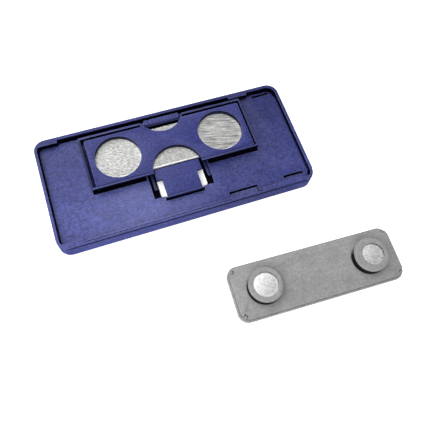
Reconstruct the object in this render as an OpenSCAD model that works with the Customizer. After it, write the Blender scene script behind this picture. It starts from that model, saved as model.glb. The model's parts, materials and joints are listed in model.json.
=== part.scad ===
// Magnetic glass cleaner in two loose halves.
// The blue outer half carries a steel yoke and two magnets under a hinged cover. The grey
// inner half has two hollow bosses that dock in the cover's round windows for storage.
// X runs along the outer half, Y from its near edge to its far edge and Z up from the glass.
// The origin is the centre of the outer half's felt face.

/* [Outer half] */
// Length of the outer half
tray_l = 75.8; // [75:0.2:84]
// Width of the outer half
tray_w = 34.8; // [34.4:0.2:38]
// Corner radius of the outer half
tray_r = 3.4; // [2.4:0.2:4]
// Thickness of the outer wall
wall_t = 0.8; // [0.7:0.1:1]
// Height of the rim above the felt face
rim_z = 5.0; // [4.8:0.1:5.2]
// Height of the deck's top above the felt face
deck_z = 3.2; // [3.1:0.1:3.2]
// Thickness of the deck
deck_t = 1.0; // [0.9:0.1:1]

/* [Magnet cover] */
// Length of the cover
cover_l = 47.3; // [47.2:0.1:48]
// Width of the cover
cover_w = 15.75; // [15.7:0.05:16]
// Height of the cover's top above the felt face
cover_z = 6.4; // [6.4:0.1:6.8]
// Thickness of the cover's top
cover_t = 0.9; // [0.8:0.1:1]
// Distance between the centres of the two windows
dock_pitch = 31; // [30:0.5:31.5]
// Diameter of each window
window_d = 13.3; // [12.8:0.1:13.4]
// Radius of the half window at the near edge
half_window_r = 7.25; // [7.1:0.05:7.4]
// Radius of the notch at the far edge
notch_r = 6.6; // [6.5:0.1:6.8]
// Diameter of the hinge pin
pin_d = 0.7; // [0.6:0.05:0.7]

/* [Yoke and magnets] */
// Length of the steel yoke plate
yoke_l = 45.4; // [44:0.2:45.6]
// Thickness of the steel yoke plate
yoke_t = 0.8; // [0.6:0.1:0.8]
// Diameter of the outer half's magnets
magnet_d = 12; // [10:0.5:12.5]

/* [Release tongue] */
// Width of the tongue's neck
neck_w = 10.4; // [9:0.1:10.6]
// Width of the tongue's head
head_w = 13.6; // [12:0.1:13.7]
// Width of each snap arm
arm_w = 0.85; // [0.7:0.05:0.9]

/* [Inner half] */
// Length of the inner half
inner_l = 48.8; // [46:0.2:52]
// Width of the inner half
inner_w = 15.6; // [15:0.2:18]
// Size of the cut corners of the inner half
inner_cut = 1.8; // [1.6:0.1:2.4]
// Diameter of each boss
boss_d = 9.8; // [9.6:0.1:10.4]
// Height of each boss above its cover
boss_h = 2.9; // [2.8:0.1:3.2]
// Diameter of the inner half's magnets
inner_magnet_d = 8; // [7.4:0.1:8]
// Where the inner half lies, along X
inner_x = 27.2; // [26:0.2:34]
// Where the inner half lies, along Y
inner_y = -43.4; // [-60:0.5:-40]
// Turn of the inner half as it lies, in degrees
inner_turn = -2.3; // [-8:0.1:8]

/* [Hidden] */
$fn = 96;

blue = "#505a9c";
dark_blue = "#474f8e";
navy = "#20254c";
grey = "#9b9b9b";
steel = "#c8c9c8";
white = "#e9e9e4";

gap = 0.1;        // clearance between pieces that stand still on each other
eps = 0.01;       // overshoot of a cut

// Levels of the outer half, from the felt face up
skirt_z = 0.4;
felt_t = 1.0;
backing_t = 0.4;
carrier_z = felt_t + backing_t;
deck_low = deck_z - deck_t;
yoke_z = 3.9;
lip_z = yoke_z + yoke_t + gap;
cover_low = cover_z - cover_t;

// Plan of the outer half
in_l = tray_l - 2 * wall_t;
in_w = tray_w - 2 * wall_t;
in_r = tray_r - wall_t;
pad_inset = 0.9;
groove = [0.42, 0.6];    // width and depth of the groove round the deck
line = [0.3, 0.6];       // width and depth of the finer lines in the deck
step_z = 4.65;           // level and width of the step along the rim's near side
step_w = 0.22;
skirt_notches = [11.2, 17.5, 26.5];
notch_w = 0.8;
notch_depth = 0.5;

// Thickenings inside the rim: where each starts and ends along X, and its width
corner_ledge = [-37.6, -31, 1.05];
far_tab = [22.1, 28.1, 0.9];
near_corner_ledge = [-37.6, -31.1, 1.15];
near_tab = [21.3, 33.7, 0.95];
near_ledges = [[-37.6, 12], [20.7, 37.6]];
near_ledge = 0.7;
near_ledge_z = 4.7;
near_groove = 0.32;      // between the rim and the near ledges

// Cover, its frame and its windows
cover_near = -2.85;
cover_far = cover_near + cover_w;
cover_wall = 0.8;
lip_w = 0.45;
lip_t = 0.4;
lip_groove = [0.25, 0.4]; // width and depth behind the lip
frame_in = [24.65, 14.4];  // half length and far edge of the space inside the frame
frame_t = 0.35;
frame_far_t = 0.6;
frame_z = 5.2;
collar_t = 0.75;
dock_y = 5.35;
dock_x = [-dock_pitch / 2, dock_pitch / 2];
half_window_y = -2.8;
notch_y = 16.4;

// Yoke plate
yoke_near = -0.55;
yoke_far = 12.35;
rest_x = 22.15;
rest_w = 0.8;

// Cover hinge
hinge_y = 14.2;
hinge_z = 5.0;
bar_y = 14.1;
bar_z = 5.4;
bar_r = 0.92;
bar_x = [-3.85, 4.05];
knob_x = [-5.4, 5.4];
neck_r = 0.72;
ear_r = 0.62;
ear_w = 0.8;
pin_run = 0.05;
pin_hold = 0.02;         // radial clearance where the bar holds the pin
ear_x = [knob_x[0] - gap - ear_w, knob_x[1] + gap];
frame_gap = [ear_x[0] - 0.2, ear_x[1] + ear_w + 0.2];

// Tongue and snap arms: sprung strips that root under the yoke
root_y = 2.5;
root_z = 3.0;
strip_t = 0.8;
well_far = root_y + strip_t / 2 + gap;
well_near = -9.3;
well_half = 9.0;
tongue_x = -0.2;
tongue_top = 4.9;
tongue_t = 0.9;
tongue_far = -1.15;
head_near = -4.65;
tongue_near = -10.6;
tongue_slot = [-5.95, 5.75];
lip_line = 0.18;         // width and depth of the line behind the tongue's edge
riser_t = 0.9;
web_w = 8;
arm_x = [-7.8, 8.3];
arm_near = -6.95;
catch_l = 0.7;
catch_z = 3.8;

// Openings in the carrier, and the blocks of the pad's backing that stand in them
block_x = [[-6.8, -4.3], [4.3, 7.05]];
block_y = [-9.15, -3.4];
block_z = 2.9;
block_r = 0.7;

// Openings in the deck, each by its spans along X and Y
mouth = [[9.4, 25.05], [cover_near - 0.15, -0.9]];
bar_opening = [[-5.2, 5.2], [12.6, hinge_y]];
far_slot = [[-30.8, 22.1], [in_w / 2 - 0.6, in_w / 2]];
short_slot = [[26, 28.1], [in_w / 2 - 1.4, in_w / 2 - 1]];
clip_slot = [[29.8, 35.6], [15.0, 15.7]];
recesses = [[[12, 20.7], [0.1 - in_w / 2, -13.5]], [[29.1, 35.3], [-14.2, -13.2]]];
recess_z = 2.5;
slit = 0.4;              // width of the slits along the recesses' edges
lug_rise = 0.15;         // how far the carrier's lug stands into the clip slot

// Levels of the inner half, from the scrubbing face up
inner_skirt = 0.3;
scrub_t = 0.7;
scrub_backing_t = 0.4;
base_low = scrub_t + scrub_backing_t;
base_z = 1.9;
inner_z = 3.2;
inner_yoke_t = 0.6;
inner_yoke_half = [20, 4.6];
pocket_gap = 0.5;        // room round the inner yoke in its pocket
flange = 0.55;           // how far the base stands out round the cover
scrub_inset = 0.9;
scrub_hole = 0.7;        // width of the base's rim round the scrubbing pad
boss_top = inner_z + boss_h;
boss_lip = 0.5;
boss_ease = 0.4;         // chamfer round the top of each boss
eye_r = [3.4, 3.05];     // openings in the boss tops, left and right
eye_shift = 0.5;         // how far the right one is off its boss's centre
lug_w = 0.8;
lug_slot = 1.0;

// A rounded rectangle about the origin
module rounded_rect(l, w, r) {
    square([l - 2 * r, w], center = true);
    square([l, w - 2 * r], center = true);
    for (sx = [-1, 1], sy = [-1, 1])
        translate([sx * (l / 2 - r), sy * (w / 2 - r)]) circle(r);
}

// A rounded plate between two heights
module plate(l, w, r, z) {
    translate([0, 0, z[0]]) linear_extrude(z[1] - z[0]) rounded_rect(l, w, r);
}

// A box given by its spans along X, Y and Z
module span(x, y, z) {
    translate([x[0], y[0], z[0]]) cube([x[1] - x[0], y[1] - y[0], z[1] - z[0]]);
}

// An upright cylinder between two heights
module post(x, y, r, z) {
    translate([x, y, z[0]]) cylinder(r = r, h = z[1] - z[0]);
}

// A cylinder along X at a height over Y
module rod(x, y, z, r) {
    translate([x[0], y, z]) rotate([0, 90, 0]) cylinder(r = r, h = x[1] - x[0]);
}

// A rectangle about the origin with cut corners, each eased at both ends of the cut
module cut_rect(l, w, c) {
    t = 0.55;
    k = t * sin(45);
    corner = [
        [l / 2, w / 2 - c - t], [l / 2 - k, w / 2 - c + k],
        [l / 2 - c + k, w / 2 - k], [l / 2 - c - t, w / 2]
    ];
    polygon(concat(
        corner, [for (i = [3:-1:0]) [-corner[i][0], corner[i][1]]],
        [for (p = corner) -p], [for (i = [3:-1:0]) [corner[i][0], -corner[i][1]]]
    ));
}

// The thickenings inside the rim: one at each left corner, two tabs and the near ledge
module rim_ledges() {
    far = in_w / 2;
    intersection() {
        plate(tray_l - 0.4, tray_w - 0.4, tray_r - 0.2, [deck_z - eps, rim_z]);
        union() {
            for (l = [corner_ledge, far_tab])
                span([l[0], l[1]], [far - l[2], far + eps], [deck_z - eps, rim_z]);
            for (l = [near_corner_ledge, near_tab])
                span([l[0], l[1]], [-far - eps, l[2] - far], [deck_z - eps, rim_z]);
            for (x = near_ledges)
                span(x, [near_groove - far, near_ledge - far], [deck_z - eps, near_ledge_z]);
        }
    }
}

// The low wall that stands round three sides of the cover
module cover_frame() {
    l = frame_in[0];
    near = cover_near + lip_w;
    difference() {
        span([-l - frame_t, l + frame_t], [near, frame_in[1] + frame_far_t], [deck_z - eps, frame_z]);
        span([-l, l], [near - 1, frame_in[1]], [deck_z - 1, frame_z + 1]);
        span(frame_gap, [frame_in[1] - 1, frame_in[1] + 1], [deck_z, frame_z + 1]);
    }
}

// Two ribs on the deck that carry the yoke plate's ends
module yoke_rests() {
    for (x = [-rest_x, rest_x])
        span([x - rest_w / 2, x + rest_w / 2], [0, 11], [deck_z - eps, yoke_z]);
}

// Cuts an opening, given by its spans along X and Y, between two heights
module opening(plan, z) {
    span(plan[0], plan[1], z);
}

module deck_cuts() {
    through = [deck_low - 1, deck_z + eps];
    for (x = dock_x) post(x, dock_y, magnet_d / 2 + gap, through);
    // well for the snap arms, and its slot for the tongue
    span([-well_half, well_half], [well_near, well_far], through);
    span(tongue_slot, [tongue_near - 0.2, well_near + 1], through);
    // mouth under the cover's near edge, right and left of the well
    opening(mouth, through);
    mirror([1, 0, 0]) opening(mouth, through);
    for (plan = [bar_opening, far_slot, short_slot, clip_slot]) opening(plan, through);
    for (plan = recesses) {
        far_edge = plan[1][1];
        opening(plan, [recess_z, deck_z + eps]);
        span(plan[0], [far_edge - slit, far_edge], through);
        span([plan[0][0], plan[0][0] + slit], [far_edge - 2 * slit, far_edge], through);
    }
}

// The fine lines at the feet of the near corner's ledge and of the near tab
module deck_lines() {
    foot = -in_w / 2;
    for (l = [near_corner_ledge, near_tab])
        span([l[0] + 1, l[1]], [foot + l[2], foot + l[2] + line[0]], [deck_z - line[1], deck_z + eps]);
}

// The groove at the foot of the outer wall, inside, on all but the right side
module deck_groove() {
    z = [deck_z - groove[1], deck_z + eps];
    difference() {
        plate(in_l - eps, in_w - eps, in_r, z);
        plate(in_l - 2 * groove[0], in_w - 2 * groove[0], in_r - groove[0], [0, rim_z]);
        span([in_l / 2 - 3, tray_l], [-in_w / 2 + 3, in_w / 2 - 3], [0, rim_z]);
    }
}

// The step outside the rim, along the near side and round its corners
module rim_step() {
    intersection() {
        difference() {
            plate(tray_l + 1, tray_w + 1, tray_r, [step_z, rim_z + 1]);
            plate(tray_l - 2 * step_w, tray_w - 2 * step_w, tray_r - step_w, [0, rim_z + 2]);
        }
        span([-tray_l, tray_l], [-tray_w, tray_r - tray_w / 2], [0, rim_z + 2]);
    }
}

module tray_shell() {
    color(blue) difference() {
        union() {
            difference() {
                plate(tray_l, tray_w, tray_r, [skirt_z, rim_z]);
                plate(in_l, in_w, in_r, [deck_z, rim_z + 1]);
                plate(in_l, in_w, in_r, [0, deck_low]);
                deck_groove();
            }
            rim_ledges();
            cover_frame();
            yoke_rests();
        }
        deck_cuts();
        deck_lines();
        rim_step();
        for (x = skirt_notches)
            span([x, x + notch_w], [-tray_w / 2 - 1, notch_depth - tray_w / 2],
                 [skirt_z + 0.1, skirt_z + 0.45]);
    }
}

// The plate that clips under the deck and holds the pad; a lug stands in the deck's clip slot
module pad_carrier() {
    color(navy) difference() {
        union() {
            plate(in_l - 2 * gap, in_w - 2 * gap, in_r - gap, [carrier_z, deck_low]);
            span([clip_slot[0][0] + gap, clip_slot[0][1] - gap],
                 [clip_slot[1][0] + gap, clip_slot[1][1] - gap], [carrier_z, deck_low + lug_rise]);
        }
        for (x = dock_x) post(x, dock_y, magnet_d / 2 + gap, [carrier_z - 1, deck_z]);
        backing_blocks(gap, [0, deck_z]);
    }
}

// Two round-cornered blocks beside the tongue's neck, grown outwards by a margin
module backing_blocks(margin, z) {
    w = block_y[1] - block_y[0] + 2 * margin;
    for (x = block_x)
        translate([(x[0] + x[1]) / 2, (block_y[0] + block_y[1]) / 2, 0])
            plate(x[1] - x[0] + 2 * margin, w, block_r, z);
}

module pad_backing() {
    color(white) {
        plate(in_l - 2 * pad_inset, in_w - 2 * pad_inset, in_r - 0.4, [felt_t, carrier_z]);
        backing_blocks(0, [felt_t, block_z]);
    }
}

module felt_pad() {
    color(white) plate(in_l - 2 * pad_inset, in_w - 2 * pad_inset, in_r - 0.4, [0, felt_t]);
}

module yoke_plate() {
    color(steel) span([-yoke_l / 2, yoke_l / 2], [yoke_near, yoke_far], [yoke_z, yoke_z + yoke_t]);
}

module outer_magnet(i) {
    color(steel) post(dock_x[i], dock_y, magnet_d / 2, [carrier_z, yoke_z]);
}

// The cover's top with its lip, skirts and collars, before the windows are cut
module cover_blank() {
    x = [-cover_l / 2, cover_l / 2];
    top = [cover_near + 0.1, cover_far];
    translate([0, (top[0] + top[1]) / 2, 0])
        plate(cover_l, top[1] - top[0], 0.5, [cover_low, cover_z]);
    span([-frame_in[0], frame_in[0]], [cover_near, cover_near + lip_w], [cover_z - lip_t, cover_z]);
    for (side = [0, 1]) {
        skirt = [x[side] - side * cover_wall, x[side] + (1 - side) * cover_wall];
        span(skirt, [cover_near + 0.6, cover_far - 0.6], [deck_z + 0.2, cover_low + eps]);
        post(dock_x[side], dock_y, window_d / 2 + collar_t, [lip_z, cover_low + eps]);
    }
    intersection() {
        span(x, [cover_near + 0.1, cover_far], [lip_z + 0.1, cover_low + eps]);
        union() {
            post(0, half_window_y, half_window_r + collar_t, [lip_z, cover_z]);
            post(0, notch_y, notch_r + collar_t, [lip_z, cover_z]);
            span(x, [cover_far - cover_wall, cover_far], [lip_z, cover_z]);
        }
    }
}

module magnet_cover() {
    z = [deck_z, cover_z + 1];
    back = cover_near + lip_w;
    color(dark_blue) difference() {
        union() {
            difference() {
                cover_blank();
                for (x = dock_x) post(x, dock_y, window_d / 2, z);
                post(0, half_window_y, half_window_r, z);
                post(0, notch_y, notch_r, z);
                span([-frame_in[0], frame_in[0]], [back, back + lip_groove[0]],
                     [cover_z - lip_groove[1], cover_z + 1]);
            }
            for (x = ear_x) {
                rod([x, x + ear_w], hinge_y, hinge_z, ear_r);
                span([x, x + ear_w], [cover_far - 0.5, hinge_y], [lip_z + 0.1, hinge_z + 0.4]);
            }
        }
        rod([ear_x[0] - 1, ear_x[1] + ear_w + 1], hinge_y, hinge_z, pin_d / 2 + pin_run);
    }
}

// A bar with a knuckle at each end, on a foot that stands on the deck behind the cover
module hinge_bar() {
    color(dark_blue) difference() {
        union() {
            rod(bar_x, bar_y, bar_z, bar_r);
            rod([bar_x[0] - 0.4, bar_x[1] + 0.4], bar_y, bar_z, neck_r);
            rod([knob_x[0], bar_x[0] - 0.3], bar_y, bar_z, bar_r);
            rod([bar_x[1] + 0.3, knob_x[1]], bar_y, bar_z, bar_r);
            span(knob_x, [bar_y + 0.2, bar_y + 1], [deck_z, bar_z - 0.3]);
        }
        rod([knob_x[0] - 1, knob_x[1] + 1], hinge_y, hinge_z, pin_d / 2 + pin_hold);
    }
}

module hinge_pin() {
    color(steel) rod([ear_x[0], ear_x[1] + ear_w], hinge_y, hinge_z, pin_d / 2);
}

// A strip from the root to its near end, with a round end about the root's axis
module spring_strip(x, near) {
    low = root_z - strip_t / 2;
    rod(x, root_y, root_z, strip_t / 2);
    span(x, [near, root_y], [low, low + strip_t]);
}

module release_tongue() {
    plate_z = [tongue_top - tongue_t, tongue_top];
    web = [tongue_x - web_w / 2, tongue_x + web_w / 2];
    neck = [tongue_x - neck_w / 2, tongue_x + neck_w / 2];
    back = tongue_near + 0.55;
    color(dark_blue) difference() {
        union() {
            spring_strip(web, tongue_far - riser_t);
            span(web, [tongue_far - riser_t, tongue_far], [root_z, tongue_top]);
            span([tongue_x - head_w / 2, tongue_x + head_w / 2], [head_near, tongue_far], plate_z);
            span(neck, [tongue_near, head_near], plate_z);
        }
        span([neck[0] - 1, neck[1] + 1], [back, back + lip_line], [tongue_top - lip_line, rim_z]);
    }
}

module snap_arm(i) {
    x = [arm_x[i] - arm_w / 2, arm_x[i] + arm_w / 2];
    color(dark_blue) {
        spring_strip(x, arm_near);
        span(x, [arm_near, arm_near + catch_l], [root_z, catch_z]);
    }
}

// The inner half's pieces are drawn about its own centre and laid beside the outer half
module lay() {
    translate([inner_x, inner_y, 0]) rotate([0, 0, inner_turn]) children();
}

// Places its children at the inner half's four corners, turned to point outwards
module at_corners() {
    reach = [inner_l / 2 - 1.55, inner_w / 2 - 1.55];
    for (sx = [-1, 1], sy = [-1, 1])
        translate([sx * reach[0], sy * reach[1], 0]) rotate([0, 0, sx * sy * 45]) children();
}

module inner_cover() {
    bore = inner_magnet_d / 2 + gap / 2;
    color(grey) lay() difference() {
        union() {
            translate([0, 0, base_z]) linear_extrude(inner_z - base_z)
                cut_rect(inner_l - 2 * flange, inner_w - 2 * flange, inner_cut - 0.2);
            for (side = [-1, 1]) translate([side * dock_pitch / 2, 0, 0]) {
                post(0, 0, boss_d / 2, [inner_z - eps, boss_top - boss_ease]);
                translate([0, 0, boss_top - boss_ease])
                    cylinder(r1 = boss_d / 2, r2 = boss_d / 2 - boss_ease, h = boss_ease);
            }
        }
        pocket = inner_yoke_half + [pocket_gap, pocket_gap];
        span([-pocket[0], pocket[0]], [-pocket[1], pocket[1]],
             [base_z - 1, base_z + inner_yoke_t + gap]);
        for (side = [-1, 1])
            post(side * dock_pitch / 2, 0, bore, [base_z, boss_top - boss_lip]);
        post(-dock_pitch / 2, 0, eye_r[0], [base_z, boss_top + 1]);
        post(dock_pitch / 2 + eye_shift, 0, eye_r[1], [base_z, boss_top + 1]);
        at_corners() span([-lug_slot / 2, lug_slot / 2], [-lug_slot / 2, lug_slot / 2], [0, inner_z + 0.1]);
    }
}

module inner_base() {
    color(grey) lay() {
        difference() {
            translate([0, 0, inner_skirt]) linear_extrude(base_z - inner_skirt)
                cut_rect(inner_l, inner_w, inner_cut);
            translate([0, 0, -1]) linear_extrude(base_low + 1)
                cut_rect(inner_l - 2 * scrub_hole, inner_w - 2 * scrub_hole, inner_cut);
        }
        at_corners() span([-lug_w / 2, lug_w / 2], [-lug_w / 2, lug_w / 2], [base_z - eps, inner_z - 0.3]);
    }
}

module inner_yoke() {
    half = inner_yoke_half;
    color(steel) lay()
        span([-half[0], half[0]], [-half[1], half[1]], [base_z, base_z + inner_yoke_t]);
}

module inner_magnet(side) {
    z = [base_z + inner_yoke_t, boss_top - boss_lip - gap];
    color(steel) lay() post(side * dock_pitch / 2, 0, inner_magnet_d / 2, z);
}

module scrub_layer(z) {
    lay() translate([0, 0, z[0]]) linear_extrude(z[1] - z[0])
        cut_rect(inner_l - 2 * scrub_inset, inner_w - 2 * scrub_inset, inner_cut);
}

module scrub_backing() {
    color(white) scrub_layer([scrub_t, base_low]);
}

module scrub_pad() {
    color(white) scrub_layer([0, scrub_t]);
}

tray_shell();
pad_carrier();
pad_backing();
felt_pad();
yoke_plate();
outer_magnet(0);  // outer_magnet_left
outer_magnet(1);  // outer_magnet_right
magnet_cover();
hinge_bar();
hinge_pin();
release_tongue();
snap_arm(0);  // snap_arm_left
snap_arm(1);  // snap_arm_right
inner_cover();
inner_base();
inner_yoke();
inner_magnet(-1);  // inner_magnet_left
inner_magnet(1);  // inner_magnet_right
scrub_backing();
scrub_pad();
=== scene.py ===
"""Looks for the magnetic glass cleaner: a blue tray with a windowed magnet cover, and a grey
strip with two hollow bosses, lying side by side on a pale floor."""

import json
import math

import bmesh
import bpy
from mathutils import Euler, Matrix, Vector, noise


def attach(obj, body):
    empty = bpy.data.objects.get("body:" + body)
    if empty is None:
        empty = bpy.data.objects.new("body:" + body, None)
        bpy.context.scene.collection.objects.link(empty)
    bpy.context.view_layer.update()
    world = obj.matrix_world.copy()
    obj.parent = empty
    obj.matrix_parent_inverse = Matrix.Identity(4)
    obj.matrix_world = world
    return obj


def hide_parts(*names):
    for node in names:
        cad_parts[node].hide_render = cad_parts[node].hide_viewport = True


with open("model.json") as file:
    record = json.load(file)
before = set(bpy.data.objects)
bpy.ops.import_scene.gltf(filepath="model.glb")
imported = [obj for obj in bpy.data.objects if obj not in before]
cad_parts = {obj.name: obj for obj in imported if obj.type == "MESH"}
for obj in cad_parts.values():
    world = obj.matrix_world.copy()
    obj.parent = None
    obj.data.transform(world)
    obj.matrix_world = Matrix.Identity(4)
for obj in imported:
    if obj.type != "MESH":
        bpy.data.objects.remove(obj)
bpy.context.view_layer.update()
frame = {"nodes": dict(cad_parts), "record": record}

MM = 0.001

# Plan of the tray in millimetres
TRAY_HALF = (37.9, 17.4)
TRAY_CORNER = 3.4
TRAY_WALL = 0.72  # the part of the wall's thickness that counts as its outside

# Hinge bar in millimetres: its axis, half length, the middle of its ribbed part and its radius
BAR_Y, BAR_Z = 14.1, 5.4
BAR_HALF = 5.4
BAR_MIDDLE = 0.1
BAR_R = 0.92
KNUCKLE_FROM = 4.3  # distance from the middle at which the knuckles start

# Where the inner half lies, and its turn in degrees
INNER_AT = (27.2, -43.4, 0)
INNER_TURN = -2.3


# ---------------------------------------------------------------- camera, floor and light

CAMERA_AT = Vector((-20.35, -66.42, 134.01)) * MM
CAMERA_TURN = (22.15, -4.01, -19.10)  # degrees about X, Y and Z
CAMERA_LENS = 41.78


def add_camera():
    data = bpy.data.cameras.new("camera")
    data.lens = CAMERA_LENS
    data.sensor_width = 36
    data.clip_start = 0.005
    data.clip_end = 10
    camera = bpy.data.objects.new("camera", data)
    camera.location = CAMERA_AT
    camera.rotation_euler = Euler([math.radians(a) for a in CAMERA_TURN])
    bpy.context.scene.collection.objects.link(camera)
    bpy.context.scene.camera = camera


def add_floor():
    size = 3.0
    mesh = bpy.data.meshes.new("floor")
    corners = [(-size, -size, 0), (size, -size, 0), (size, size, 0), (-size, size, 0)]
    mesh.from_pydata(corners, [], [(0, 1, 2, 3)])
    floor = bpy.data.objects.new("floor", mesh)
    bpy.context.scene.collection.objects.link(floor)
    floor.data.materials.append(paper())


def add_light(name, at, target, size, power):
    data = bpy.data.lights.new(name, "AREA")
    data.shape = "RECTANGLE"
    data.size, data.size_y = size
    data.energy = power
    light = bpy.data.objects.new(name, data)
    light.location = at
    aim = Vector(target) - Vector(at)
    light.rotation_euler = aim.to_track_quat("-Z", "Y").to_euler()
    bpy.context.scene.collection.objects.link(light)


def add_world(strength):
    world = bpy.data.worlds.new("studio")
    world.use_nodes = True
    background = world.node_tree.nodes["Background"]
    background.inputs["Color"].default_value = (1, 1, 1, 1)
    background.inputs["Strength"].default_value = strength
    bpy.context.scene.world = world


# ---------------------------------------------------------------- material helpers

class Look:
    """A material under construction. Lengths in its textures are in millimetres."""

    def __init__(self, name):
        self.material = bpy.data.materials.new(name)
        self.material.use_nodes = True
        self.tree = self.material.node_tree
        self.shader = self.tree.nodes["Principled BSDF"]
        self.at = self.add("ShaderNodeTexCoord").outputs["Object"]

    def add(self, kind, **settings):
        node = self.tree.nodes.new(kind)
        for key, value in settings.items():
            setattr(node, key, value)
        return node

    def put(self, value, socket):
        if isinstance(value, bpy.types.NodeSocket):
            self.tree.links.new(value, socket)
        elif isinstance(value, (tuple, list)) and len(value) == 3 and len(socket.default_value) == 4:
            socket.default_value = (*value, 1)
        else:
            socket.default_value = value

    def math(self, operation, a, b=0.0):
        node = self.add("ShaderNodeMath", operation=operation)
        self.put(a, node.inputs[0])
        self.put(b, node.inputs[1])
        return node.outputs[0]

    def stretch(self, sizes, turn=0.0):
        """Coordinates in which one unit is that many millimetres along each axis, after a
        turn about Z in degrees."""
        place = self.at
        if turn:
            turned = self.add("ShaderNodeVectorRotate", rotation_type="Z_AXIS")
            self.put(self.at, turned.inputs["Vector"])
            turned.inputs["Angle"].default_value = math.radians(turn)
            place = turned.outputs[0]
        node = self.add("ShaderNodeMapping")
        self.put(place, node.inputs["Vector"])
        node.inputs["Scale"].default_value = [1 / (s * MM) for s in sizes]
        return node.outputs[0]

    def noise(self, sizes, detail=3.0, rough=0.5, warp=0.0, turn=0.0):
        node = self.add("ShaderNodeTexNoise")
        self.put(self.stretch(sizes, turn), node.inputs["Vector"])
        node.inputs["Scale"].default_value = 1.0
        node.inputs["Detail"].default_value = detail
        node.inputs["Roughness"].default_value = rough
        node.inputs["Distortion"].default_value = warp
        return node.outputs["Fac"]

    def remap(self, value, low, high, to_low=0.0, to_high=1.0, curve="LINEAR"):
        node = self.add("ShaderNodeMapRange", interpolation_type=curve)
        node.clamp = True
        for key, v in (("Value", value), ("From Min", low), ("From Max", high),
                       ("To Min", to_low), ("To Max", to_high)):
            self.put(v, node.inputs[key])
        return node.outputs[0]

    def mix(self, amount, a, b, blend="MIX"):
        node = self.add("ShaderNodeMix", data_type="RGBA", blend_type=blend)
        self.put(amount, node.inputs[0])
        self.put(a, node.inputs[6])
        self.put(b, node.inputs[7])
        return node.outputs[2]

    def tint(self, color, amount):
        """The colour times an amount that may pass 1."""
        node = self.add("ShaderNodeVectorMath", operation="SCALE")
        self.put(color, node.inputs[0])
        self.put(amount, node.inputs["Scale"])
        return node.outputs[0]

    def along(self, axis):
        """The place along an axis, in metres."""
        parts = self.add("ShaderNodeSeparateXYZ")
        self.put(self.at, parts.inputs[0])
        return parts.outputs[axis]

    def above(self, height):
        """1 above a height over the glass in millimetres, 0 below it."""
        return self.math("GREATER_THAN", self.along("Z"), height * MM)

    def nearer(self, y):
        """1 where Y is under -y millimetres, 0 further off."""
        return self.math("LESS_THAN", self.along("Y"), -y * MM)

    def light_falloff(self):
        """Painted light falloff across the tray: fullest in the left half, dullest in the far right.
        """
        x, y = self.along("X"), self.along("Y")
        left = self.remap(x, -37 * MM, -20 * MM, 1.1, 1.08, "SMOOTHSTEP")
        middle = self.remap(x, -14 * MM, 16 * MM, 1.0, 0.72, "SMOOTHSTEP")
        right = self.remap(x, 22 * MM, 37 * MM, 1.0, 1.15, "SMOOTHSTEP")
        depth = self.remap(y, -14 * MM, 17 * MM, 1.05, 0.74, "SMOOTHSTEP")
        across = self.math("MULTIPLY", self.math("MULTIPLY", left, middle), right)
        return self.math("MULTIPLY", across, depth)

    def painted_sheen(self):
        """1 where a painted sheen pales the deck, left of the tongue, 0 far from there."""
        x, y = self.along("X"), self.along("Y")
        left = self.remap(x, -34 * MM, -16 * MM, 0.0, 1.0, "SMOOTHSTEP")
        right = self.remap(x, -12 * MM, 14 * MM, 1.0, 0.0, "SMOOTHSTEP")
        depth = self.remap(y, -10 * MM, 4 * MM, 1.0, 0.25, "SMOOTHSTEP")
        return self.math("MULTIPLY", self.math("MULTIPLY", left, right), depth)

    def occlusion(self, reach, local=False):
        """1 in the open, falling towards 0 in crevices narrower than reach."""
        node = self.add("ShaderNodeAmbientOcclusion", samples=8, only_local=local)
        node.inputs["Distance"].default_value = reach * MM
        return node.outputs["AO"]

    def upright(self):
        """1 on faces that stand upright in the piece's own frame, 0 on level ones."""
        parts = self.add("ShaderNodeSeparateXYZ")
        self.put(self.tree.nodes["Texture Coordinate"].outputs["Normal"], parts.inputs[0])
        return self.remap(self.math("ABSOLUTE", parts.outputs["Z"]), 0.75, 0.25)

    def beyond(self, half_x, half_y):
        """1 outside a rectangle of the plan about the origin, in millimetres."""
        over_x = self.math("SUBTRACT", self.math("ABSOLUTE", self.along("X")), half_x * MM)
        over_y = self.math("SUBTRACT", self.math("ABSOLUTE", self.along("Y")), half_y * MM)
        return self.math("GREATER_THAN", self.math("MAXIMUM", over_x, over_y), 0.0)

    def outer_wall(self):
        """1 on the tray's outer wall, round its corners too, and 0 inside it."""
        squares = []
        for axis, half in zip("XY", TRAY_HALF):
            over = self.math("SUBTRACT", self.math("ABSOLUTE", self.along(axis)),
                             (half - TRAY_CORNER) * MM)
            over = self.math("MAXIMUM", over, 0.0)
            squares.append(self.math("MULTIPLY", over, over))
        reach = self.math("SQRT", self.math("ADD", *squares))
        return self.math("GREATER_THAN", reach, (TRAY_CORNER - TRAY_WALL) * MM)

    def facing(self, direction):
        """1 on faces turned towards a direction in the plan, 0 on those turned away."""
        dot = self.add("ShaderNodeVectorMath", operation="DOT_PRODUCT")
        self.put(self.tree.nodes["Texture Coordinate"].outputs["Normal"], dot.inputs[0])
        dot.inputs[1].default_value = (*direction, 0.0)
        return self.remap(dot.outputs["Value"], -0.1, 0.35)

    def edge(self, radius):
        """1 on an outer or inner edge and 0 on the flat."""
        bevel = self.add("ShaderNodeBevel", samples=6)
        bevel.inputs["Radius"].default_value = radius * MM
        normal = self.add("ShaderNodeNewGeometry").outputs["Normal"]
        dot = self.add("ShaderNodeVectorMath", operation="DOT_PRODUCT")
        self.put(bevel.outputs[0], dot.inputs[0])
        self.put(normal, dot.inputs[1])
        return self.remap(dot.outputs["Value"], 0.995, 0.82)

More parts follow.
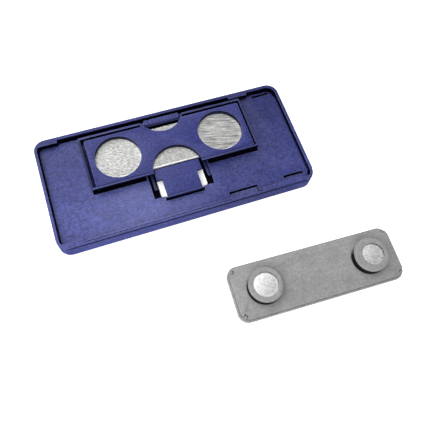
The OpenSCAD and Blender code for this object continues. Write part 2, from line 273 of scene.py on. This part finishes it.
    def bump(self, layers):
        """Adds up (height, amount in millimetres) layers and bumps the surface with them."""
        total = 0.0
        for height, amount in layers:
            scaled = self.math("MULTIPLY", height, amount * MM)
            total = scaled if total == 0.0 else self.math("ADD", total, scaled)
        node = self.add("ShaderNodeBump")
        node.inputs["Distance"].default_value = 1.0
        node.inputs["Strength"].default_value = 1.0
        self.put(total, node.inputs["Height"])
        self.put(node.outputs[0], self.shader.inputs["Normal"])

    def set(self, **values):
        for key, value in values.items():
            self.put(value, self.shader.inputs[key.replace("_", " ").title().replace("Ior", "IOR")])


# ---------------------------------------------------------------- materials

def paper():
    look = Look("floor_paper")
    tone = look.noise((9, 9, 9), 4)
    look.set(base_color=look.mix(tone, (0.92, 0.92, 0.92), (0.95, 0.95, 0.95)), roughness=0.9)
    look.put((1.0, 1.0, 1.0), look.shader.inputs["Emission Color"])
    look.shader.inputs["Emission Strength"].default_value = 0.62
    look.bump([(look.noise((0.5, 0.5, 0.5), 2), 0.002)])
    return look.material


def tray_light(look, body, depth, dim, shine):
    """Lights the tray: plainly on its outer wall and on the upper part of its rim, dimly on the
    step along its near side and on the left wall of the cover's frame. Also paints a light
    falloff across the deck, a sheen left of the tongue and a reflection on the outer wall.
    Returns the colour, the openness, the dimming and the shine.
    openness, the dimming and the shine."""
    outside = look.outer_wall()
    rim = look.math("MULTIPLY", look.beyond(36.0, 15.95), look.above(4.55))
    rim = look.math("MULTIPLY", rim, look.math("SUBTRACT", 1.0, look.nearer(15.0)))
    lit = look.math("MAXIMUM", outside, rim)
    depth = look.math("MAXIMUM", depth, outside)
    depth = look.math("MINIMUM", depth, look.occlusion(0.6, True))
    dim = look.math("MULTIPLY", dim, look.math("SUBTRACT", 1.0, lit))
    wall = look.math("MULTIPLY", look.upright(), outside)
    step = look.math("MULTIPLY", look.nearer(17.16), look.above(4.6))
    dim = look.math("MAXIMUM", dim, look.math("MULTIPLY", step, 0.75))
    shine = look.math("MULTIPLY", shine, look.math("SUBTRACT", 1.0, wall))
    # Painted light: the tray's colour is scaled by a falloff across the deck.
    body = look.tint(body, look.light_falloff())
    # Painted sheen: a pale veil added to the deck left of the tongue, where a soft reflection lies.
    painted_sheen = look.math("MULTIPLY", look.painted_sheen(), look.math("SUBTRACT", 1.0, outside))
    body = look.mix(painted_sheen, body, (0.045, 0.048, 0.068), "ADD")
    # Painted reflection: a pale veil added to the outer wall in place of its shine.
    body = look.mix(wall, body, (0.020, 0.019, 0.004), "ADD")
    left_wall = look.math("MULTIPLY", look.above(3.4), look.beyond(24.5, 40.0))
    left_wall = look.math("MULTIPLY", left_wall, look.math("LESS_THAN", look.along("X"), 0.0))
    inside = look.math("SUBTRACT", 1.0, look.beyond(25.3, 14.3))
    left_wall = look.math("MULTIPLY", look.math("MULTIPLY", left_wall, inside), 0.6)
    return body, depth, look.math("MAXIMUM", dim, left_wall), shine


def moulded(name, deep, pale, edge_highlight, rough=0.42, reach=1.3, blotch=7.0, shell=False,
            sides=0.2, wall_above=None, grain=0.5, gloss=0.38, open_at=0.74):
    """Satin moulded plastic: soft blotches, fine grain, flow streaks, painted shade in crevices
    and painted highlights on edges. Upright faces take only the share of light that sides
    gives, or, with wall_above, only those above that height that face the near left. A shell
    is the tray."""
    look = Look(name)
    broad = look.noise((blotch, blotch, blotch), 3, 0.55)
    close = look.noise((1.1, 0.8, 1.1), 4, 0.6, 0.4)
    streak = look.noise((14.0, 1.6, 14.0), 2, 0.5, 0.3)
    tone = look.math("ADD", look.math("MULTIPLY", broad, 0.5), look.math("MULTIPLY", close, 0.3))
    tone = look.math("ADD", tone, look.math("MULTIPLY", streak, 0.2))
    body = look.mix(look.remap(tone, 0.38, 0.62), deep, pale)
    fine = look.noise((0.7, 0.6, 0.7), 3, 0.7)
    body = look.tint(body, look.remap(fine, 0.34, 0.66, 1.0 - 0.5 * grain, 1.0 + 0.5 * grain))
    highlight_patches = look.remap(look.noise((2.2, 2.2, 2.2), 4, 0.6), 0.3, 0.6, 0.7, 1.0)
    # Painted highlight: the colour is paled along edges, broken into patches.
    body = look.mix(look.math("MULTIPLY", look.edge(0.15), highlight_patches), body, edge_highlight)
    depth = look.occlusion(reach)
    dim = look.math("MULTIPLY", look.upright(), 1.0 - sides)
    shine = look.remap(depth, 0.3, 0.7, 0.0, gloss)
    if wall_above:
        dim = look.math("MULTIPLY", dim, look.above(wall_above))
        dim = look.math("MULTIPLY", dim, look.facing((-0.7, -0.7)))
    if shell:
        body, depth, dim, shine = tray_light(look, body, depth, dim, shine)
    # Painted shade: the colour darkens in crevices by occlusion and on upright faces by dim.
    bare = look.math("SUBTRACT", 1.0, dim)
    shade = look.math("MULTIPLY", look.remap(depth, 0.32, open_at), bare)
    shine = look.math("MULTIPLY", shine, bare)
    body = look.tint(body, shade)
    satin = look.remap(look.noise((0.6, 0.6, 0.6), 3), 0.3, 0.7, rough - 0.06, rough + 0.08)
    look.set(base_color=body, roughness=satin)
    look.put(shine, look.shader.inputs["Specular IOR Level"])
    look.bump([(close, 0.006), (look.noise((0.14, 0.14, 0.14), 2), 0.003), (streak, 0.004)])
    return look.material


def brushed(name, dark, pale, rough, dull, highlight_before=None):
    """Brushed steel: streaks along X that lengthen to the right, patchy haze and pits, a painted
    highlight along the near edge, and painted light that lifts it near walls where their
    shadow falls."""
    look = Look(name)
    short = look.noise((1.0, 0.17, 0.8), 2, 0.6, 0.3, 14.0)
    long = look.noise((3.2, 0.22, 3.0), 2, 0.65, 0.0, 14.0)
    right = look.remap(look.along("X"), 0.0, 12 * MM)
    fine = look.math("ADD", look.math("MULTIPLY", long, right),
                     look.math("MULTIPLY", short, look.math("SUBTRACT", 1.0, right)))
    haze = look.noise((1.6, 1.0, 1.6), 4, 0.6, 0.6)
    tone = look.math("ADD", look.math("MULTIPLY", fine, 0.85), look.math("MULTIPLY", haze, 0.15))
    body = look.mix(look.remap(tone, 0.41, 0.59), dark, pale)
    pits = look.remap(look.noise((0.4, 0.3, 0.4), 2), 0.6, 0.7)
    body = look.mix(look.math("MULTIPLY", pits, 0.45), body, dull)
    if highlight_before is not None:
        # Painted highlight: a pale line along the near edge, where its bevel reflects the light.
        edge_glint = look.math("LESS_THAN", look.along("Y"), highlight_before * MM)
        body = look.mix(edge_glint, body, (0.9, 0.9, 0.9))
    # Painted light: the steel is brightened near walls to cancel their shadow.
    body = look.tint(body, look.remap(look.occlusion(1.6), 0.45, 0.95, 1.8, 1.0))
    look.set(base_color=body, metallic=0.55,
             roughness=look.remap(tone, 0.35, 0.65, rough - 0.04, rough + 0.07))
    look.put(0.2, look.shader.inputs["Specular IOR Level"])
    look.bump([(fine, 0.004), (haze, 0.004)])
    return look.material


def plated(name, dark, pale, rough):
    """Nickel-plated magnet: mottled, with small pits."""
    look = Look(name)
    cloud = look.noise((0.8, 0.6, 0.8), 4, 0.65, 0.5)
    grain = look.noise((0.4, 0.3, 0.3), 3, 0.6)
    tone = look.math("ADD", look.math("MULTIPLY", cloud, 0.5), look.math("MULTIPLY", grain, 0.5))
    body = look.mix(look.remap(tone, 0.42, 0.58), dark, pale)
    # Painted light: the plating is brightened near walls to cancel their shadow.
    body = look.tint(body, look.remap(look.occlusion(1.0), 0.5, 0.95, 1.5, 1.0))
    look.set(base_color=body, metallic=0.6,
             roughness=look.remap(cloud, 0.35, 0.65, rough - 0.05, rough + 0.1))
    look.bump([(grain, 0.005), (cloud, 0.01)])
    return look.material


def film(name, dark, pale):
    """White adhesive film: faintly creased, with a faint glow painted in as light where it lies in
    shade.
    """
    look = Look(name)
    crease = look.noise((2.4, 1.2, 2.0), 4, 0.6, 0.8)
    speck = look.noise((0.3, 0.3, 0.3), 3)
    tone = look.math("ADD", look.math("MULTIPLY", crease, 0.7), look.math("MULTIPLY", speck, 0.3))
    body = look.mix(look.remap(tone, 0.35, 0.65), dark, pale)
    look.set(base_color=body, roughness=look.remap(speck, 0.3, 0.7, 0.5, 0.65))
    # Painted light: the film glows faintly in its own colour so it stays bright in its slots.
    look.put(body, look.shader.inputs["Emission Color"])
    look.shader.inputs["Emission Strength"].default_value = 0.22
    look.bump([(crease, 0.02), (speck, 0.004)])
    return look.material


def felt(name, dark, pale):
    """Needled felt: matted fibres and tufts."""
    look = Look(name)
    tuft = look.noise((0.55, 0.4, 0.5), 5, 0.7, 1.2)
    fibre = look.noise((0.9, 0.06, 0.9), 3, 0.7, 2.0)
    cross = look.noise((0.06, 0.9, 0.9), 3, 0.7, 2.0)
    tone = look.math("ADD", look.math("MULTIPLY", tuft, 0.5), look.math("MULTIPLY", fibre, 0.25))
    tone = look.math("ADD", tone, look.math("MULTIPLY", cross, 0.25))
    body = look.mix(look.remap(tone, 0.35, 0.65), dark, pale)
    look.set(base_color=body, roughness=0.95)
    look.put(0.35, look.shader.inputs["Sheen Weight"])
    look.bump([(tuft, 0.12), (fibre, 0.04), (cross, 0.04)])
    return look.material


SLOT_LOOKS = {
    "blue_shell": moulded("blue_shell", (0.030, 0.038, 0.180), (0.057, 0.066, 0.244),
                          (0.26, 0.285, 0.62), shell=True, sides=0.04, grain=0.9,
                          gloss=0.3),
    "blue_cover": moulded("blue_cover", (0.021, 0.028, 0.155), (0.036, 0.043, 0.200),
                          (0.24, 0.265, 0.60), blotch=5.0, sides=0.17, open_at=0.66, grain=0.9,
                          gloss=0.34),
    # Painted shade: the carrier's near-black colour stands in for the dark of the deep slots and
    # wells it lines.
    "carrier_plastic": moulded("carrier_plastic", (0.001, 0.001, 0.004), (0.002, 0.002, 0.006),
                               (0.003, 0.003, 0.008), rough=0.7, gloss=0.03),
    "grey_shell": moulded("grey_shell", (0.242, 0.242, 0.245), (0.298, 0.298, 0.298),
                          (0.46, 0.46, 0.46), rough=0.45, blotch=4.0, sides=0.04, reach=0.45,
                          wall_above=3.3, grain=0.3),
    "brushed_yoke": brushed("brushed_yoke", (0.25, 0.25, 0.245), (0.68, 0.68, 0.67), 0.5,
                            (0.20, 0.20, 0.195), -0.2),
    "magnet_plating": plated("magnet_plating", (0.52, 0.52, 0.52), (0.78, 0.78, 0.78), 0.42),
    "pin_steel": brushed("pin_steel", (0.35, 0.35, 0.35), (0.55, 0.55, 0.55), 0.30,
                         (0.2, 0.2, 0.2)),
    "white_tape": film("white_tape", (0.84, 0.84, 0.83), (0.90, 0.90, 0.89)),
    "white_felt": felt("white_felt", (0.62, 0.62, 0.59), (0.86, 0.86, 0.83)),
    "grey_felt": felt("grey_felt", (0.20, 0.20, 0.21), (0.36, 0.36, 0.37)),
}
BAR_LOOK = moulded("bar_blue", (0.028, 0.034, 0.160), (0.045, 0.052, 0.204), (0.20, 0.22, 0.48),
                   blotch=5.0, sides=1.0)
# Painted shade: a darker copy of the cover's blue for the snap arms, which lie in deep channels.
ARM_SHADED_LOOK = moulded("arm_blue_shaded", (0.012, 0.015, 0.080), (0.024, 0.029, 0.125), (0.09, 0.10, 0.26),
                   blotch=3.0, sides=0.1)

for part in frame["record"]["subparts"]:
    obj = frame["nodes"][part["node"]]
    obj.data.materials.clear()
    arm = part["node"].startswith("snap_arm")
    obj.data.materials.append(ARM_SHADED_LOOK if arm else SLOT_LOOKS[part["material_slot"]])


# ---------------------------------------------------------------- edges of the CAD nodes

def soften(node, width):
    """Joins the node's split faces and rounds its sharp edges."""
    obj = frame["nodes"][node]
    weld = obj.modifiers.new("weld", "WELD")
    weld.merge_threshold = 0.0005 * MM
    flat = obj.modifiers.new("flat", "DECIMATE")
    flat.decimate_type = "DISSOLVE"
    flat.angle_limit = math.radians(0.3)
    bevel = obj.modifiers.new("edges", "BEVEL")
    bevel.limit_method = "ANGLE"
    bevel.angle_limit = math.radians(32)
    bevel.width = width * MM
    bevel.segments = 3
    bevel.use_clamp_overlap = True
    bevel.harden_normals = True
    for polygon in obj.data.polygons:
        polygon.use_smooth = True


EDGE_WIDTHS = {
    "tray_shell": 0.1, "pad_carrier": 0.08, "pad_backing": 0.08, "yoke_plate": 0.12,
    "outer_magnet_left": 0.15, "outer_magnet_right": 0.15, "magnet_cover": 0.13,
    "hinge_pin": 0.08, "release_tongue": 0.11, "snap_arm_left": 0.12, "snap_arm_right": 0.12,
    "inner_cover": 0.22, "inner_base": 0.2, "inner_yoke": 0.1, "inner_magnet_left": 0.15,
    "inner_magnet_right": 0.15, "scrub_backing": 0.05,
}
for node_name, edge_width in EDGE_WIDTHS.items():
    soften(node_name, edge_width)


# ---------------------------------------------------------------- pieces made here

def new_piece(name, mesh, material, body, node, look=None):
    obj = bpy.data.objects.new(name, mesh)
    bpy.context.scene.collection.objects.link(obj)
    obj.data.materials.append(look or SLOT_LOOKS[material])
    for polygon in obj.data.polygons:
        polygon.use_smooth = True
    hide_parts(node)
    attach(obj, body)
    return obj


def ring_mesh(name, rings):
    """A closed tube through rings of points that all have the same length."""
    mesh = bmesh.new()
    rows = [[mesh.verts.new(p) for p in ring] for ring in rings]
    count = len(rows[0])
    for a, b in zip(rows, rows[1:]):
        for i in range(count):
            j = (i + 1) % count
            mesh.faces.new((a[i], a[j], b[j], b[i]))
    mesh.faces.new(list(reversed(rows[0])))
    mesh.faces.new(rows[-1])
    bmesh.ops.recalc_face_normals(mesh, faces=mesh.faces)
    data = bpy.data.meshes.new(name)
    mesh.to_mesh(data)
    mesh.free()
    return data


def bar_radius(x, angle):
    """Ribbed bar in millimetres: x along it, angle from straight up. A waist stands before each
    knuckle, a line runs along the top between them, and the ends are eased."""
    knuckle = 1.0 if abs(x - BAR_MIDDLE) > KNUCKLE_FROM else 0.0
    waist = 0.2 * math.exp(-((abs(x - BAR_MIDDLE) - KNUCKLE_FROM + 0.18) / 0.14) ** 2)
    rib = 0.028 * math.cos(x * math.tau / 1.05) * (1.0 - knuckle)
    line = 0.11 * math.exp(-(angle / 0.2) ** 2) * (1.0 - knuckle)
    ends = 0.2 * math.exp(-((BAR_HALF - abs(x)) / 0.12) ** 2)
    return BAR_R + rib - line - waist - ends


def make_hinge_bar():
    steps, turns = 150, 44
    rings = []
    for i in range(steps + 1):
        x = BAR_HALF * (2 * i / steps - 1)
        ring = []
        for k in range(turns):
            angle = math.tau * k / turns - math.pi
            r = bar_radius(x, angle)
            y = BAR_Y + r * math.sin(angle)
            z = BAR_Z + r * (math.cos(angle) if abs(angle) > 1.5 else math.cos(angle) ** 0.6)
            if abs(angle) > 2.0 and z < BAR_Z - 0.3:
                y = BAR_Y + max(0.25, min(BAR_R, r)) * (1 if angle > 0 else 0.2)
                z = BAR_Z + r * math.cos(angle)
            ring.append(Vector((x, y, z)) * MM)
        rings.append(ring)
    new_piece("hinge_bar_ribbed", ring_mesh("hinge_bar_ribbed", rings), "blue_cover",
              "outer_half", "hinge_bar", BAR_LOOK)


def outline(half_x, half_y, corner, round_corner, count):
    """Points round a rectangle whose corners are rounded or cut."""
    points = []
    for i in range(count):
        t = 4 * i / count
        side, f = int(t), t - int(t)
        u, v = ((2 * f - 1, -1), (1, 2 * f - 1), (1 - 2 * f, 1), (-1, 1 - 2 * f))[side]
        x, y = u * half_x, v * half_y
        over_x, over_y = abs(x) - (half_x - corner), abs(y) - (half_y - corner)
        if over_x > 0 and over_y > 0:
            if round_corner:
                scale = corner / math.hypot(over_x, over_y)
            else:
                scale = corner / (over_x + over_y)
            over_x, over_y = over_x * scale, over_y * scale
            x = math.copysign(half_x - corner + over_x, x)
            y = math.copysign(half_y - corner + over_y, y)
        points.append((x, y))
    return points


def make_felt(name, node, body, material, shape, place, top):
    """A felt pad: matted face down, a worn rim and slightly uneven sides."""
    half_x, half_y, corner, round_corner = shape
    count = 4 * 90
    loops = [(0.0, top, 0.0), (0.0, top * 0.55, 0.03), (0.05, top * 0.25, 0.05),
             (0.22, top * 0.06, 0.05), (0.6, 0.0, 0.05)]
    rings = []
    for inset, z, rough in loops:
        ring = []
        for x, y in outline(half_x - inset, half_y - inset, max(corner - inset, 0.1),
                            round_corner, count):
            lump = noise.noise(Vector((x * 1.3, y * 1.3, z * 2)))
            fuzz = noise.noise(Vector((x * 5, y * 5, z * 5)))
            shrink = 1 - (abs(lump) + 0.5 * abs(fuzz)) * rough / half_y
            ring.append(place @ (Vector((x * shrink, y * shrink, max(z, 0.02))) * MM))
        rings.append(ring)
    for k in range(1, 14):
        keep = 1 - k / 14
        ring = []
        for x, y in outline((half_x - 0.6) * keep + 0.01, (half_y - 0.6) * keep + 0.01,
                            max((corner - 0.6) * keep, 0.005), round_corner, count):
            lump = noise.noise(Vector((x * 0.9, y * 0.9, 0.3)))
            fuzz = noise.noise(Vector((x * 4.5, y * 4.5, 1.3)))
            z = 0.03 + 0.05 * abs(lump) + 0.03 * abs(fuzz)
            ring.append(place @ (Vector((x, y, z)) * MM))
        rings.append(ring)
    pad = new_piece(name, ring_mesh(name, rings), material, body, node)


INNER_PLACE = (Matrix.Translation(Vector(INNER_AT) * MM)
               @ Matrix.Rotation(math.radians(INNER_TURN), 4, "Z"))

make_hinge_bar()
make_felt("felt_pad_matted", "felt_pad", "outer_half", "white_felt",
          (36.2, 15.7, 2.2, True), Matrix.Identity(4), 1.0)
make_felt("scrub_pad_matted", "scrub_pad", "inner_half", "grey_felt",
          (23.5, 6.9, 2.2, False), INNER_PLACE, 0.7)


# ---------------------------------------------------------------- scene

add_camera()
add_floor()
add_world(0.25)
add_light("overhead", (-0.30, 0.22, 0.62), (-0.1, 0.1, 0), (0.95, 1.0), 6.6)
add_light("front", (-0.22, -0.50, 0.48), (0, 0, 0), (0.7, 0.6), 2.6)
bpy.context.scene.view_settings.view_transform = "Standard"
